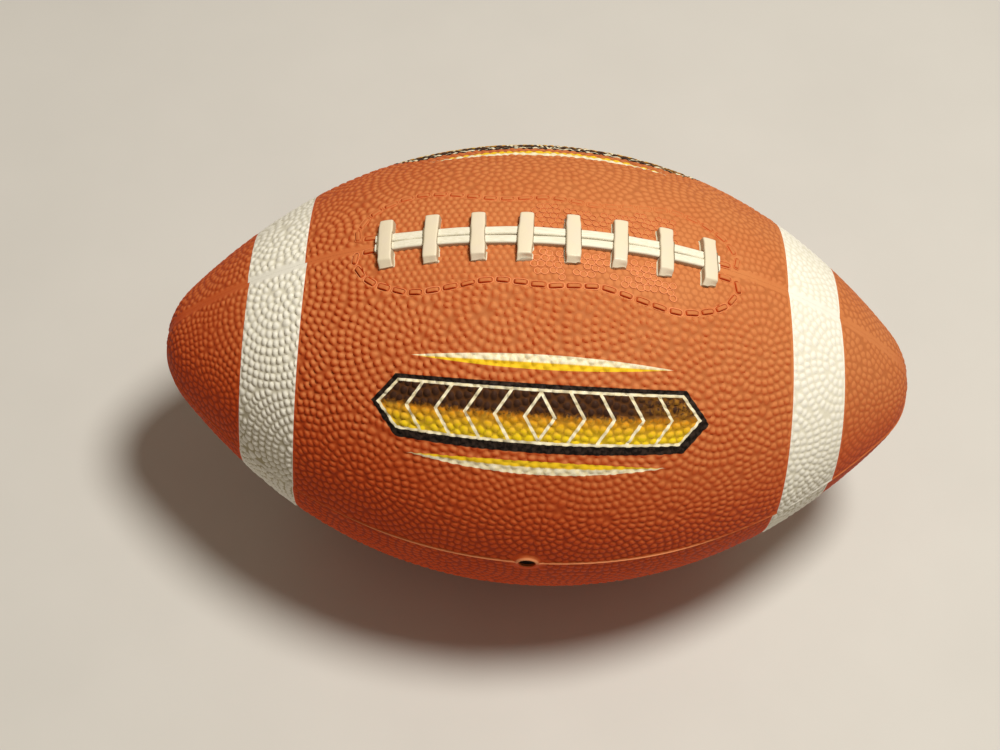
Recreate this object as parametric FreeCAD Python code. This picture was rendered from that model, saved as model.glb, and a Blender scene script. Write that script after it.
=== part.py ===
import FreeCAD, Part
import math
import os

# American football with a moulded rubber cover, laced on top and inflated through a needle valve.
# Frame: the origin is the ball's centre, +X runs along the long axis, +Z goes up through the
# laces, and -Y goes out through the valve. All sizes are millimetres.

# Outer shape: three tangent arcs from the middle of the ball to each tip.
HALF_LENGTH = 143.0
MAX_RADIUS = 84.45
MIDDLE_ARC_RADIUS = 170.5
MIDDLE_ARC_ANGLE = math.radians(34.4)
TIP_RADIUS = 32.0

# Wall, from the outside in. Depths are measured from the outer surface.
SKIN_DEPTH = 0.5
COVER_DEPTH = 1.6
CARCASS_DEPTH = 2.0
WINDING_DEPTH = 2.35
BLADDER_DEPTH = 3.05

# Seams between the four cover panels.
SEAM_GAP = 0.1
SEAM_CHANNEL_WIDTH = 2.2

# Pale stripe inlays, one round each end of the ball.
STRIPE_INNER_X = 88.5
STRIPE_OUTER_X = 110.0

# Laces: crossbars over a pair of cords, both on the top seam.
CROSSBAR_COUNT = 8
CROSSBAR_PITCH = 16.4
CROSSBAR_WIDTH = 5.3
CROSSBAR_HALF_LENGTH = 10.2
CROSSBAR_HEIGHT = 3.1
CROSSBAR_END_ROUND = 1.3
LACE_CENTRE = -1.5
PEG_OFFSET = 8.2
PEG_WIDTH = 3.4
PEG_THICKNESS = 2.0
CORD_WIDTH = 3.5
CORD_HEIGHT = 2.2
CORD_ROUND = 0.6
CORD_GAP = 0.2
CORD_STUB = 3.9

# Valve on the front seam. Heights are measured from the ball's long axis.
VALVE_X = -1.3
VALVE_HOLE_RADIUS = 3.6
LIP_RADIUS = 5.3
LIP_HEIGHT = 0.45
HOUSING_RADIUS = 4.0
HOUSING_FACE_RADIUS = 3.5
HOUSING_BOTTOM = 68.0
HOUSING_FACE = 83.5
FLANGE_RADIUS = 9.0
FLANGE_BOTTOM = 79.0
PLUG_RADIUS = 2.2
PLUG_BOTTOM = 69.2
PLUG_FACE = 83.1
COLLAR_RADIUS = 3.0
COLLAR_BOTTOM = 74.0
COLLAR_TOP = 76.0
NEEDLE_BORE_RADIUS = 1.1

# How far construction shapes reach, how far they overrun, and how near counts as touching.
REACH = 200.0
CLEARANCE = 1.0
NEAR = 0.2
AXIS = FreeCAD.Vector(1, 0, 0)
CENTRE = FreeCAD.Vector(0, 0, 0)
OUTWARD = FreeCAD.Vector(0, -1, 0)


def at(x, radius):
    """A point in the plane of the laces: distance along the axis, then distance from it."""
    return FreeCAD.Vector(x, 0, radius)


def on_circle(centre, radius, angle):
    """A point on a circle, with the angle taken from straight up towards +X."""
    return centre + at(radius * math.sin(angle), radius * math.cos(angle))


# Centres of the arcs. The shoulder arc is the one that meets the middle arc and the tip arc.
MIDDLE_CENTRE = at(0, MAX_RADIUS - MIDDLE_ARC_RADIUS)
TIP_CENTRE = at(HALF_LENGTH - TIP_RADIUS, 0)
SHOULDER_START = on_circle(MIDDLE_CENTRE, MIDDLE_ARC_RADIUS, MIDDLE_ARC_ANGLE)
SHOULDER_NORMAL = on_circle(CENTRE, 1, MIDDLE_ARC_ANGLE)
TIP_TO_START = SHOULDER_START - TIP_CENTRE
SHOULDER_RADIUS = (TIP_TO_START.dot(TIP_TO_START) - TIP_RADIUS**2) / (
    2 * (TIP_TO_START.dot(SHOULDER_NORMAL) - TIP_RADIUS)
)
SHOULDER_CENTRE = SHOULDER_START - SHOULDER_NORMAL * SHOULDER_RADIUS
TIP_ANGLE = math.atan2(TIP_CENTRE.x - SHOULDER_CENTRE.x, TIP_CENTRE.z - SHOULDER_CENTRE.z)


def arc(centre, radius, start, end):
    """An arc of a circle between two angles."""
    middle = (start + end) / 2
    points = [on_circle(centre, radius, angle) for angle in (start, middle, end)]
    return Part.Arc(*points).toShape()


def half_profile(depth):
    """The outline from the middle of the ball to the +X tip, moved in by a depth."""
    return [
        arc(MIDDLE_CENTRE, MIDDLE_ARC_RADIUS - depth, 0, MIDDLE_ARC_ANGLE),
        arc(SHOULDER_CENTRE, SHOULDER_RADIUS - depth, MIDDLE_ARC_ANGLE, TIP_ANGLE),
        arc(TIP_CENTRE, TIP_RADIUS - depth, TIP_ANGLE, math.pi / 2),
    ]


def profile(depth):
    """The whole outline from one tip to the other."""
    right = half_profile(depth)
    left = [edge.mirror(CENTRE, AXIS) for edge in right]
    return right + left


def body_of(depth):
    """The solid ball, moved in by a depth."""
    end = HALF_LENGTH - depth
    line = Part.makeLine(at(-end, 0), at(end, 0))
    wire = Part.Wire(Part.__sortEdges__(profile(depth) + [line]))
    return Part.Face(wire).revolve(CENTRE, AXIS, 360)


def shell_of(outer, inner):
    """One layer of the ball's wall, between two depths."""
    return body_of(outer).cut(body_of(inner))


def quadrant(side_y, side_z, margin):
    """The quarter of space that holds one panel, kept a margin away from both of its seams."""
    low_y = margin if side_y > 0 else -REACH
    low_z = margin if side_z > 0 else -REACH
    size = REACH - margin
    return Part.makeBox(2 * REACH, size, size, FreeCAD.Vector(-REACH, low_y, low_z))


def stripe_slab(side_x):
    """The slice of space, across the long axis, that holds one ring of stripes."""
    low_x = min(side_x * STRIPE_INNER_X, side_x * STRIPE_OUTER_X)
    corner = FreeCAD.Vector(low_x, -REACH, -REACH)
    return Part.makeBox(STRIPE_OUTER_X - STRIPE_INNER_X, 2 * REACH, 2 * REACH, corner)


def valve_cylinder(radius, bottom, top):
    """A cylinder on the valve's axis, between two heights above the ball's long axis."""
    foot = FreeCAD.Vector(VALVE_X, -bottom, 0)
    return Part.makeCylinder(radius, top - bottom, foot, OUTWARD)


def lace_angle(distance):
    """The angle on the middle arc of a point at a distance along the top seam from the origin."""
    return distance / MIDDLE_ARC_RADIUS


def stand_on_seam(shape, angle):
    """Moves a shape from the middle arc's centre to a place along the top seam."""
    turn = FreeCAD.Rotation(FreeCAD.Vector(0, 1, 0), math.degrees(angle))
    placed = shape.copy()
    placed.Placement = FreeCAD.Placement(MIDDLE_CENTRE, turn)
    return placed


def crossbar_angles():
    """Where the crossbars stand along the top seam."""
    middle = (CROSSBAR_COUNT - 1) / 2
    return [lace_angle(LACE_CENTRE + (i - middle) * CROSSBAR_PITCH) for i in range(CROSSBAR_COUNT)]


def crossbar_point(angle, height, across):
    """A point in a crossbar's own section: a height above the ball, and a distance from the seam."""
    radius = curve_across(angle)
    rise = math.sqrt((radius + height) ** 2 - across**2) - radius
    return FreeCAD.Vector(0, across, MIDDLE_ARC_RADIUS + rise)


def curve_across(angle):
    """The ball's radius of curvature across the top seam."""
    return on_circle(MIDDLE_CENTRE, MIDDLE_ARC_RADIUS, angle).z / math.cos(angle)


def crossbar_pegs(angle, overrun=0.0):
    """The two pegs of a crossbar, as plain blocks, which an overrun lengthens at both ends."""
    pegs = []
    foot = crossbar_point(angle, -COVER_DEPTH, PEG_OFFSET - PEG_THICKNESS / 2).z - overrun
    height = COVER_DEPTH + CROSSBAR_HEIGHT / 2 + 2 * overrun
    for side in (-1, 1):
        corner = FreeCAD.Vector(-PEG_WIDTH / 2, side * PEG_OFFSET - PEG_THICKNESS / 2, foot)
        pegs.append(stand_on_seam(Part.makeBox(PEG_WIDTH, PEG_THICKNESS, height, corner), angle))
    return pegs


def crossbar_section(angle):
    """The outline of a crossbar across the seam: parallel to the ball, with a notch for the cords."""
    end = CROSSBAR_HALF_LENGTH
    notch = CORD_GAP + CORD_WIDTH
    roof = MIDDLE_ARC_RADIUS + CORD_HEIGHT + CORD_GAP / 2
    edges = [
        Part.Arc(*[crossbar_point(angle, CROSSBAR_HEIGHT, y) for y in (-end, 0, end)]).toShape(),
        Part.makeLine(FreeCAD.Vector(0, -notch, roof), FreeCAD.Vector(0, notch, roof)),
    ]
    for side in (-1, 1):
        tip = crossbar_point(angle, 0, side * end)
        middle = crossbar_point(angle, 0, side * (end + notch) / 2)
        inner = crossbar_point(angle, 0, side * notch)
        edges.append(Part.makeLine(crossbar_point(angle, CROSSBAR_HEIGHT, side * end), tip))
        edges.append(Part.Arc(tip, middle, inner).toShape())
        edges.append(Part.makeLine(inner, FreeCAD.Vector(0, side * notch, roof)))
    return Part.Face(Part.Wire(Part.__sortEdges__(edges)))


def is_top_end(edge):
    """True for the two edges along a crossbar's ends, at its top."""
    middle = edge.CenterOfMass
    is_end = abs(abs(middle.y) - CROSSBAR_HALF_LENGTH) < NEAR
    return is_end and middle.z > MIDDLE_ARC_RADIUS + CLEARANCE and edge.BoundBox.ZLength < NEAR


def lace_crossbar(angle):
    """A crossbar astride both cords, with two pegs through the cover."""
    section = crossbar_section(angle)
    section.translate(FreeCAD.Vector(-CROSSBAR_WIDTH / 2, 0, 0))
    bar = section.extrude(FreeCAD.Vector(CROSSBAR_WIDTH, 0, 0))
    ends = [edge for edge in bar.Edges if is_top_end(edge) and edge.BoundBox.XLength > CLEARANCE]
    bar = stand_on_seam(bar.makeFillet(CROSSBAR_END_ROUND, ends), angle)
    for peg in crossbar_pegs(angle):
        bar = bar.fuse(peg)
    return bar


def lace_cord(side):
    """One of the two cords that run side by side under the crossbars."""
    reach = (CROSSBAR_COUNT - 1) / 2 * CROSSBAR_PITCH + CORD_STUB
    start = lace_angle(LACE_CENTRE - reach)
    end = lace_angle(LACE_CENTRE + reach)
    low = MIDDLE_ARC_RADIUS
    high = MIDDLE_ARC_RADIUS + CORD_HEIGHT
    edges = [
        arc(MIDDLE_CENTRE, low, start, end),
        arc(MIDDLE_CENTRE, high, start, end),
    ]
    for angle in (start, end):
        bottom = on_circle(MIDDLE_CENTRE, low, angle)
        edges.append(Part.makeLine(bottom, on_circle(MIDDLE_CENTRE, high, angle)))
    face = Part.Face(Part.Wire(Part.__sortEdges__(edges)))
    face.translate(FreeCAD.Vector(0, side * CORD_GAP / 2, 0))
    cord = face.extrude(FreeCAD.Vector(0, side * CORD_WIDTH, 0))
    top_edges = [edge for edge in cord.Edges if edge.Length > CROSSBAR_PITCH and is_on_top(edge)]
    return cord.makeFillet(CORD_ROUND, top_edges)


def is_on_top(edge):
    """True for an edge on a cord's upper side."""
    middle = edge.valueAt((edge.FirstParameter + edge.LastParameter) / 2)
    return math.hypot(middle.x - MIDDLE_CENTRE.x, middle.z - MIDDLE_CENTRE.z) > MIDDLE_ARC_RADIUS + CLEARANCE


def cover_panel(side_y, side_z, cover, skin_room, valve_hole, valve_lip):
    """A quarter of the cover, with rebated seams, beds for its two stripes and its lace holes."""
    panel = cover.common(quadrant(side_y, side_z, SEAM_GAP / 2))
    panel = panel.cut(skin_room.cut(quadrant(side_y, side_z, SEAM_CHANNEL_WIDTH / 2)))
    for side_x in (-1, 1):
        panel = panel.cut(skin_room.common(stripe_slab(side_x)))
    if side_y < 0:
        panel = panel.fuse(valve_lip.common(quadrant(side_y, side_z, SEAM_GAP / 2)))
        panel = panel.cut(valve_hole)
    if side_z > 0:
        for angle in crossbar_angles():
            for hole in crossbar_pegs(angle, CLEARANCE):
                panel = panel.cut(hole)
    return panel


def stripe(side_x, side_y, side_z, skin):
    """A pale inlay that lies flush in its bed, between two seam channels."""
    field = quadrant(side_y, side_z, SEAM_CHANNEL_WIDTH / 2)
    return skin.common(field).common(stripe_slab(side_x))


def valve_body(cavity):
    """The moulded housing: a stem through the wall and a flange bonded inside the bladder."""
    stem = valve_cylinder(HOUSING_RADIUS, HOUSING_BOTTOM, MAX_RADIUS - COVER_DEPTH - SEAM_GAP)
    face = valve_cylinder(HOUSING_FACE_RADIUS, HOUSING_BOTTOM, HOUSING_FACE)
    flange = valve_cylinder(FLANGE_RADIUS, FLANGE_BOTTOM, REACH).common(cavity)
    bore = valve_cylinder(PLUG_RADIUS, HOUSING_BOTTOM - CLEARANCE, REACH)
    seat = valve_cylinder(COLLAR_RADIUS, COLLAR_BOTTOM, COLLAR_TOP)
    return stem.fuse(face).fuse(flange).cut(bore).cut(seat).removeSplitter()


def valve_plug():
    """The soft plug with its retaining collar and the channel for the inflating needle."""
    stem = valve_cylinder(PLUG_RADIUS, PLUG_BOTTOM, PLUG_FACE)
    collar = valve_cylinder(COLLAR_RADIUS, COLLAR_BOTTOM, COLLAR_TOP)
    channel = valve_cylinder(NEEDLE_BORE_RADIUS, PLUG_BOTTOM - CLEARANCE, PLUG_FACE + CLEARANCE)
    return stem.fuse(collar).cut(channel).removeSplitter()


def build():
    """All the pieces of the ball by name."""
    pieces = {}
    cavity = body_of(BLADDER_DEPTH)
    housing_hole = valve_cylinder(HOUSING_RADIUS, FLANGE_BOTTOM - CLEARANCE, REACH)
    pieces["bladder"] = shell_of(WINDING_DEPTH, BLADDER_DEPTH).cut(housing_hole)
    pieces["thread_winding"] = shell_of(CARCASS_DEPTH, WINDING_DEPTH).cut(housing_hole)
    pieces["carcass_layer"] = shell_of(COVER_DEPTH, CARCASS_DEPTH).cut(housing_hole)
    pieces["valve_body"] = valve_body(cavity)
    pieces["valve_plug"] = valve_plug()

    cover = shell_of(0, COVER_DEPTH)
    skin = shell_of(0, SKIN_DEPTH)
    skin_room = shell_of(-CLEARANCE, SKIN_DEPTH)
    valve_hole = valve_cylinder(VALVE_HOLE_RADIUS, HOUSING_BOTTOM, REACH)
    lip_top = MAX_RADIUS + LIP_HEIGHT
    valve_lip = valve_cylinder(LIP_RADIUS, MAX_RADIUS - COVER_DEPTH / 2, lip_top)
    for front, side_y in (("front", -1), ("rear", 1)):
        for level, side_z in (("top", 1), ("bottom", -1)):
            place = front + "_" + level
            panel = cover_panel(side_y, side_z, cover, skin_room, valve_hole, valve_lip)
            pieces["cover_panel_" + place] = panel
            for end, side_x in (("left", -1), ("right", 1)):
                pieces["stripe_" + end + "_" + place] = stripe(side_x, side_y, side_z, skin)

    pieces["lace_cord_front"] = lace_cord(-1)
    pieces["lace_cord_rear"] = lace_cord(1)
    for number, angle in enumerate(crossbar_angles(), 1):
        pieces["lace_crossbar_" + str(number)] = lace_crossbar(angle)
    return pieces


os.makedirs("parts", exist_ok=True)
for name, shape in build().items():
    print(name, shape.ShapeType, len(shape.Solids), round(shape.Volume, 1), shape.isValid())
    shape.exportStep("parts/" + name + ".step")
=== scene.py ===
import math
from functools import partialmethod

import bpy
import numpy as np
from mathutils import Matrix, Vector
from mathutils.kdtree import KDTree


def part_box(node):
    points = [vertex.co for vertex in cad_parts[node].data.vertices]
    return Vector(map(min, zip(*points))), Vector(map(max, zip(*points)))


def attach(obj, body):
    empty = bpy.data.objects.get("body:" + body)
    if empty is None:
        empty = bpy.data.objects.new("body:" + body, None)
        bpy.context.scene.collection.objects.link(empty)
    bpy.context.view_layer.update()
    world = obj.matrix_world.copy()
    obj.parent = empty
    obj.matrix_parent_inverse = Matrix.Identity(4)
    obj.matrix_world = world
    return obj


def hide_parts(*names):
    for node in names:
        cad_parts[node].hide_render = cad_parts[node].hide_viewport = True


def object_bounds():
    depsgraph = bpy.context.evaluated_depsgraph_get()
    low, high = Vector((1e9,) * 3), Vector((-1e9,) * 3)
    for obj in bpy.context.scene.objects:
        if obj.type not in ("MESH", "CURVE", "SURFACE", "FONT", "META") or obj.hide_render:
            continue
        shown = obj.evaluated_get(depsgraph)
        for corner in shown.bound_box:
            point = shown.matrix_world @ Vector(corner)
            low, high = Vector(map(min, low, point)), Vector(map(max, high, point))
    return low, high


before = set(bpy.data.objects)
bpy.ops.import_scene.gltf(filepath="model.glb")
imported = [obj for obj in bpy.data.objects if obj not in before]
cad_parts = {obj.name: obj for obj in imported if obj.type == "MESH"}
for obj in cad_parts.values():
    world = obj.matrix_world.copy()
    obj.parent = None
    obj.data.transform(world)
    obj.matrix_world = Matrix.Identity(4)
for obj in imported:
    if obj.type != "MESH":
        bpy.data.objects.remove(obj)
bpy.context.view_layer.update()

# An American football: a pebbled rubber cover in four panels with pale stripe inlays, laces of
# eight crossbars over two cords, and a needle valve. Shapes are worked out in millimetres, in
# the CAD frame: +X along the ball, +Z up through the laces, -Y out through the valve. A place on
# the ball is an arc length along it from its middle and an angle round it from the laces
# towards the valve. Meshes are made in metres.

METRES = 0.001
RIGHT_ANGLE = math.pi / 2


def box_mm(node):
    """The lowest and highest corner of a CAD node, in millimetres."""
    low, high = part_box(node)
    return low / METRES, high / METRES


# Sizes from the frame.
REAR_TOP = box_mm("cover_panel_rear_top")[1]
HALF_LENGTH = REAR_TOP.x
MAX_RADIUS = REAR_TOP.y
STRIPE_XS = [corner.x for corner in box_mm("stripe_right_front_top")]
PLUG_LOW, PLUG_HIGH = box_mm("valve_plug")
VALVE_X = (PLUG_LOW.x + PLUG_HIGH.x) / 2

# The outline's arcs, as in the design: a middle arc, a shoulder that meets it, and the tip.
MIDDLE_RADIUS = 170.5
MIDDLE_ANGLE = math.radians(34.4)
TIP_RADIUS = 32.0

# The cover's wall and seams.
COVER_DEPTH = 1.6
STRIPE_DEPTH = 0.8
STRIPE_ROOM = 0.05
SEAM_GAP = 0.04

# The net of points over the cover, and its columns beside the seams.
NET_STEP = 0.6
BED_STEP = 8.0
INNER_STEP = 7.0
EDGE_COLUMNS = [0.0, 0.2, 0.42, 0.68, 1.0]
EDGE_WIDTH = 1.45

# Relief of the rubber: rings of pebbles about the middles of whorls.
RING_PITCH = 3.2
PEBBLE_PITCH = 2.8
PEBBLE_HEIGHT = 0.78
MERGED_SHARE = 0.03
SMALL_PITCH = 2.7
SMALL_HEIGHT = 0.54
WHORL_SPACING = 33.0
WHORL_TRIES = 6000
# The share of the way in from a pebble's edge at which its dome starts, and its run to the top.
DOME_FROM, DOME_RUN = 0.12, 0.5
PEBBLE_BASE = 0.12
SHARP_ANGLE = math.radians(55)
SEED = 11

# Ranges of distance from a seam, stripe edge, stitch or the valve over which the relief changes,
# and how deep or high it is there.
SEAM_PLAIN = (1.2, 2.3)
SEAM_VALLEY, SEAM_VALLEY_DEPTH = (0.6, 2.8), 0.14
SEAM_LINE, SEAM_LINE_DEPTH = (0.0, 0.4), 0.05
STRIPE_PLAIN, COVER_PLAIN = (0.0, 0.5), (0.3, 1.2)
STITCH_PLAIN = (0.9, 1.7)
# POCKET_TONE darkens the stitch pockets with painted shade.
POCKET_TONE = 1.55
# BEAD_TONE gives the valve's seam bead a painted highlight.
BEAD_OFF, BEAD_WIDTH, BEAD_HEIGHT, BEAD_TONE = 0.4, 0.32, 0.7, 0.85
BEAD_PLAIN, BEAD_FOOT_PLAIN = (0.6, 1.2), (0.2, 0.8)
BEAD_FOOT, BEAD_FOOT_DEPTH = (0.1, 0.9), 0.3
BEAD_DIES, BEAD_LOSS = (45, 80), 0.55

# Where the relief is softer: worn towards the right, low down, behind, and towards the tips. The
# stripes keep most of theirs low down.
WEAR_FROM, WEAR_MIDDLE = (45, 110), 0.3
WEAR_TIP_FROM, WEAR_TIP = (108, 125), 0.15
TIP_FROM, TIP_SOFTER = (80, 150), 0.5
LOW_FROM, BEHIND_FROM, SIDE_SOFTER = (-0.85, -0.4), (8, 30), 0.48
STRIPE_LOW_SHARE = 0.25

# Stripe edges: how far each panel's pair of edges is shifted along the ball, skewed across it,
# and bowed outward in its middle.
STRIPE_SHIFT = {
    "left_front_top": (0.6, -1.3, 0.0),
    "left_front_bottom": (-0.4, 0.5, 0.0),
    "left_rear_top": (0.2, 0.6, 0.0),
    "left_rear_bottom": (0.3, -0.4, 0.0),
    "right_front_top": (0.4, 3.0, 1.3),
    "right_front_bottom": (0.5, -0.8, 0.0),
    "right_rear_top": (-1.6, -0.6, 0.0),
    "right_rear_bottom": (-0.3, 0.7, 0.0),
}

# The stitched outline round the laces: distances along the seam and away from it.
OUTLINE = [
    (61.5, 2.7), (66.5, 3.0), (69.6, 4.2), (69.2, 8.0), (65.0, 13.8), (57.0, 18.4), (46.0, 21.1),
    (33.0, 19.7), (18.0, 17.3), (0.0, 18.6),
]
OUTLINE_REAR_SCALE = 1.04
OUTLINE_LEAN = 0.02
STITCH_PITCH = 6.15
STITCH_LENGTH = 4.6
STITCH_WIDTH = 1.6
STITCH_HEIGHT = 0.75
STITCH_TURN = 1.57
POCKET_LENGTH = 5.6
POCKET_WIDTH = 2.5
POCKET_DEPTH = 0.25
RIM_RADIUS = 0.2
RIM_STEPS = 32
RING_RADIUS = 1.3
RING_TUBE = 0.2
RING_STEPS = 14
# The raised rings' tones give them a painted highlight, stronger in front.
RING_TONES = {1: 1.65, -1: 1.35}
RINGS_MISSING = 0.05
# How far the rings keep from a crossbar's middle, its ends, and the seam.
RING_OFF_BAR, RING_OFF_ENDS, RING_OFF_SEAM = 3.3, 11, 5.0
# Inside the outline: where the bumps give way to raised rings, and where the rings end.
NET_FROM = -8.0
NET_RUN = 10
NET_TO = 44.0
NET_SOFTER = 0.6

# The laces.
CORD_TOP = 2.2
CORD_ROOM = 3.8
CORD_STATIONS = 160
CROSSBAR_TOP = 3.15
BAR_HALF_WIDTH = 2.68
BAR_DRAFT = 0.12
BAR_ROUND = 0.7
BAR_STATIONS = 61
BAR_NUMBERS = range(1, 9)
# Shares of a bar's half length over which its rear end rounds off and its front end is torn.
BAR_REAR, BAR_TORN = (0.84, 1.0), (0.8, 1.0)
REAR_DROP, REAR_NARROWER, FRONT_DROP = 1.3, 0.16, 1.9
LEDGE_WIDTH = 0.4
LEDGE_HEIGHT = 0.6

# The valve: its hole, the plain patch round it, and its lip's section, as distances from the
# valve's middle and heights above the ball.
VALVE_HOLE = 3.6
VALVE_PLAIN = 7.0
LIP_OUTLINE = [
    (3.0, -1.5), (3.0, 0.4), (3.2, 0.95), (3.65, 1.2), (4.15, 1.02), (4.7, 0.55), (5.4, 0.12),
    (6.1, -0.25), (6.1, -1.5),
]
LIP_STEPS = 144

# The printed emblem on each top panel: its middle along the ball and round it, and half sizes.
EMBLEM_ALONG = -1.5
EMBLEM_ROUND = 64.7
EMBLEM_ROUND_REAR = 73.0
EMBLEM_HALF_LENGTH = 60.0
EMBLEM_HALF_HEIGHT = 11.6
CHEVRON_PITCH = 10.4
LINE_OFF = 19.0
LINE_HALF_LENGTH = 46.0
LINE_HALF_WIDTH = 2.6

# The camera and the point it looks at.
CAMERA_AT = Vector((-0.0285, -0.3880, 0.6254))
CAMERA_TARGET = Vector((-0.0145, -0.0054, 0.0))
CAMERA_UP = Vector((-0.0609, 0.8521, 0.5199))
CAMERA_LENS = 68.46

# The light: a round panel overhead, and the room. Painted light and shade on the rubber and
# stripes come from one direction, near the key's.
KEY_AT = (0.31, 0.02, 1.27)
KEY_SIZE = 0.35
KEY_POWER = 17.4
KEY_COLOUR = (1.0, 0.965, 0.87)
WORLD_STRENGTH = 0.2
WORLD_COLOUR = (1.0, 0.80, 0.60, 1.0)
FLOOR_REACH = 6.0
PAINTED_LIGHT_FROM = (0.32, 0.0, 0.95)


# ---- the ball's outer surface

MIDDLE_CENTRE = np.array([0.0, MAX_RADIUS - MIDDLE_RADIUS])
TIP_CENTRE = np.array([HALF_LENGTH - TIP_RADIUS, 0.0])
SHOULDER_NORMAL = np.array([math.sin(MIDDLE_ANGLE), math.cos(MIDDLE_ANGLE)])
SHOULDER_START = MIDDLE_CENTRE + MIDDLE_RADIUS * SHOULDER_NORMAL
TO_START = SHOULDER_START - TIP_CENTRE
START_RISE = TO_START @ SHOULDER_NORMAL - TIP_RADIUS
SHOULDER_RADIUS = (TO_START @ TO_START - TIP_RADIUS**2) / (2 * START_RISE)
SHOULDER_CENTRE = SHOULDER_START - SHOULDER_RADIUS * SHOULDER_NORMAL
TIP_ANGLE = math.atan2(*(TIP_CENTRE - SHOULDER_CENTRE))
SHOULDER_ALONG = MIDDLE_RADIUS * MIDDLE_ANGLE
TIP_ALONG = SHOULDER_ALONG + SHOULDER_RADIUS * (TIP_ANGLE - MIDDLE_ANGLE)
END_ALONG = TIP_ALONG + TIP_RADIUS * (RIGHT_ANGLE - TIP_ANGLE)
# The start, its angle, the radius and the centre of each arc.
ARCS = [
    (0.0, SHOULDER_ALONG, TIP_ALONG),
    (0.0, MIDDLE_ANGLE, TIP_ANGLE),
    (MIDDLE_RADIUS, SHOULDER_RADIUS, TIP_RADIUS),
    *zip(MIDDLE_CENTRE, SHOULDER_CENTRE, TIP_CENTRE),
]


def profile(along):
    """At signed arc lengths from the middle: x, radius, and the normal's two parts."""
    run = np.abs(along)
    zones = [run < SHOULDER_ALONG, run < TIP_ALONG]
    start, start_angle, arc, centre_x, centre_r = [
        np.select(zones, [middle, shoulder], tip) for middle, shoulder, tip in ARCS
    ]
    angle = start_angle + (run - start) / arc
    side = np.where(np.asarray(along) < 0, -1.0, 1.0)
    x = side * (centre_x + arc * np.sin(angle))
    return x, centre_r + arc * np.cos(angle), side * np.sin(angle), np.cos(angle)


ALONG_TABLE = np.linspace(-END_ALONG, END_ALONG, 4001)
X_TABLE = profile(ALONG_TABLE)[0]


def along_at(x):
    """The arc length at a distance along the axis."""
    return np.interp(x, X_TABLE, ALONG_TABLE)


def on_ball(along, angle, height=0.0):
    """Points at a height above the ball's smooth surface."""
    x, radius, normal_x, normal_r = profile(along)
    out = radius + height * normal_r
    return np.stack([x + height * normal_x, -out * np.sin(angle), out * np.cos(angle)], axis=-1)


def place_of(points):
    """The arc length and angle on the ball that are nearest to each point."""
    angle = np.arctan2(-points[:, 1], points[:, 2])
    reach = np.hypot(points[:, 1], points[:, 2])
    along = along_at(np.clip(points[:, 0], -HALF_LENGTH, HALF_LENGTH))
    for _ in range(4):
        x, radius, normal_x, normal_r = profile(along)
        along = along + (points[:, 0] - x) * normal_r - (reach - radius) * normal_x
        along = np.clip(along, -END_ALONG, END_ALONG)
    return along, angle


def turns_round(count):
    """Angles evenly spaced round a circle."""
    return np.linspace(0, 2 * math.pi, count, endpoint=False)


def quads(*corners):
    """Faces of four corners each, from four arrays of point numbers."""
    return np.stack(corners, axis=-1).reshape(-1, 4)


def ramp(value, low, high):
    """0 below low, 1 above high, and a smooth rise between them."""
    t = np.clip((value - low) / (high - low), 0.0, 1.0)
    return t * t * (3 - 2 * t)


def bell(value, middle, width):
    """1 at the middle, and a soft fall to 0 on both sides."""
    return np.exp(-(((value - middle) / width) ** 2))


def fall(value, low, high):
    """1 below low, 0 above high, and a smooth fall between them."""
    return 1 - ramp(value, low, high)


def tree_of(points):
    """A search tree over some points."""
    tree = KDTree(len(points))
    for index, point in enumerate(points.tolist()):
        tree.insert(point, index)
    tree.balance()
    return tree


# ---- the stitched outline


def smooth_path(points, step):
    """A Catmull-Rom curve through some points, sampled about every step."""
    points = np.array(points, float)
    padded = np.vstack([2 * points[0] - points[1], points, 2 * points[-1] - points[-2]])
    pieces = []
    for a, b, c, d in zip(padded, padded[1:], padded[2:], padded[3:]):
        count = max(2, int(np.linalg.norm(c - b) / step))
        t = np.linspace(0, 1, count, endpoint=False)[:, None]
        curve = 2 * b + (c - a) * t + (2 * a - 5 * b + 4 * c - d) * t**2
        pieces.append((curve + (3 * b - a - 3 * c + d) * t**3) / 2)
    return np.vstack([*pieces, points[-1:]])


def outline_path(side):
    """The outline on one side: distances along the seam, and signed ones from it."""
    scale = 1.0 if side > 0 else OUTLINE_REAR_SCALE
    half = [(along, across * scale) for along, across in OUTLINE]
    mirrored = [(-along, across) for along, across in half[-2::-1]]
    path = smooth_path(half + mirrored, 0.5)
    path[:, 1] = path[:, 1] * side + OUTLINE_LEAN * path[:, 0]
    path[:, 0] += LACE_CENTRE
    return path


def crossbar_along(number):
    """Where a crossbar stands along the top seam, from its CAD box."""
    low, high = box_mm(f"lace_crossbar_{number}")
    return float(along_at((low.x + high.x) / 2))


CROSSBARS = [crossbar_along(number) for number in BAR_NUMBERS]
LACE_CENTRE = sum(CROSSBARS) / len(CROSSBARS)
OUTLINE_PATHS = {side: outline_path(side) for side in (1, -1)}


def on_seam_side(path):
    """Points on the ball for distances along the top seam and away from it."""
    radius = profile(path[:, 0])[1]
    return on_ball(path[:, 0], path[:, 1] / radius)


def side_name(side):
    """The side of the top seam as a word."""
    return "front" if side > 0 else "rear"


def stitch_places(path):
    """The middle and direction of each stitch along an outline."""
    steps = np.linalg.norm(np.diff(path, axis=0), axis=1)
    run = np.concatenate([[0], np.cumsum(steps)])
    count = round(run[-1] / STITCH_PITCH)
    middles = (np.arange(count) + 0.5) * run[-1] / count
    at, ahead, behind = [
        [np.interp(middles + shift, run, path[:, k]) for k in (0, 1)] for shift in (0, 1, -1)
    ]
    turn = np.arctan2(ahead[1] - behind[1], ahead[0] - behind[0])
    return np.stack([*at, turn], axis=1)


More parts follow.
